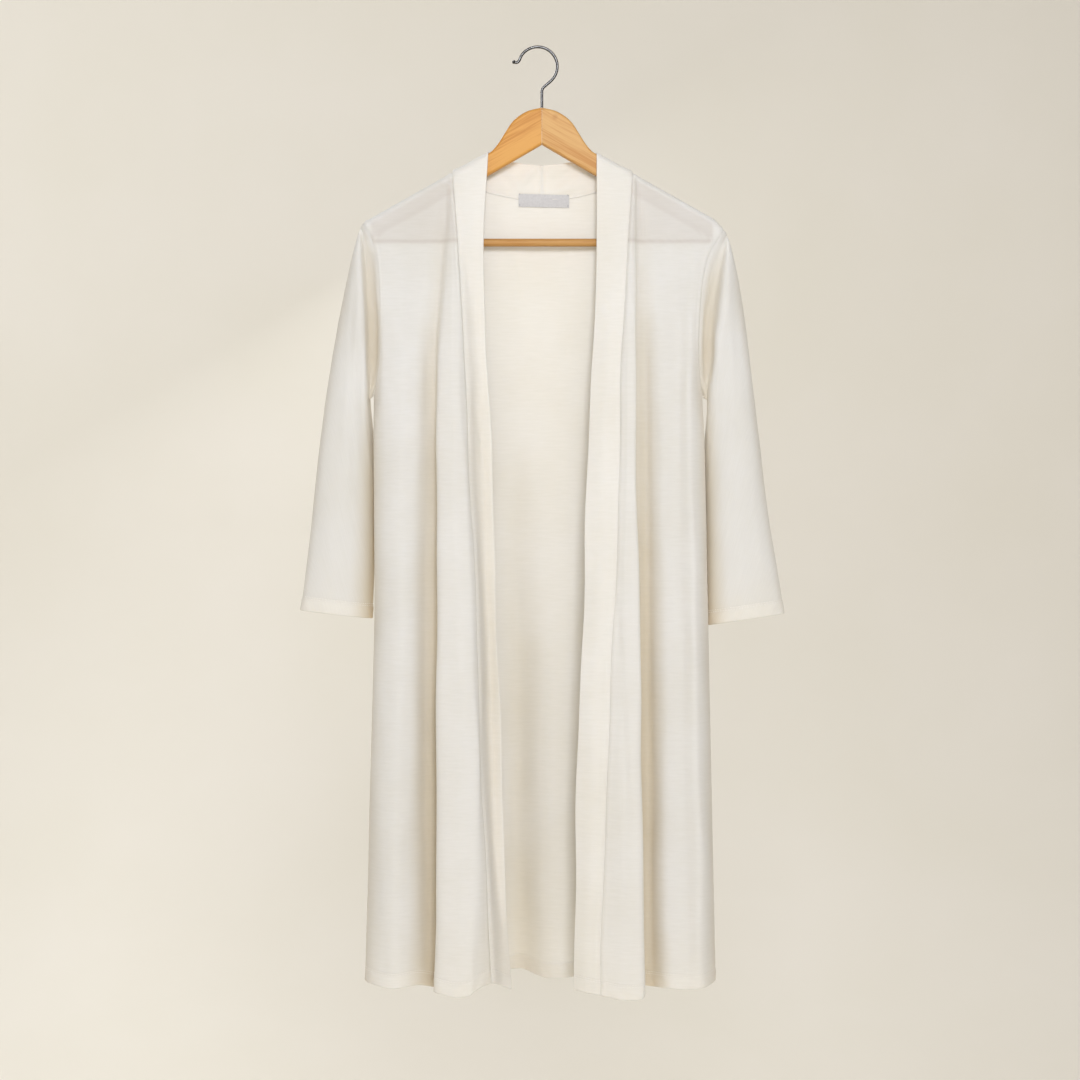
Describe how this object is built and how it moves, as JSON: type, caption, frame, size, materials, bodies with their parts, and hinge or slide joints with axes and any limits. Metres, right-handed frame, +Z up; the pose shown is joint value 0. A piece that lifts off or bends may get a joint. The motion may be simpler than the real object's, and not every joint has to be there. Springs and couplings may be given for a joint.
{
  "type": "duster cardigan on a wooden hanger",
  "caption": "Knee-length open-front duster cardigan in white jersey, with a folded neck band and three-quarter sleeves, hanging on a flat wooden hanger with a wire hook and trouser bar",
  "frame": {"origin": "inside of the hook's top, straight above the stem, where a rail carries the hanger", "axes": "+Z up, -Y the garment's front, +X to the right of a person who looks at the front"},
  "size_m": [0.5813, 0.1307, 1.1329],
  "materials": {
    "jersey": "matte knit",
    "label_satin": "satin",
    "wood": "clear lacquer",
    "chrome_wire": "polished"
  },
  "bodies": {
    "root": {"back": "jersey", "front_left": "jersey", "front_right": "jersey", "sleeve_left": "jersey", "sleeve_right": "jersey", "band_left": "jersey", "band_right": "jersey", "label": "label_satin", "hanger_left": "wood", "hanger_right": "wood", "trouser_bar": "wood", "hook": "chrome_wire"}
  },
  "joints": []
}
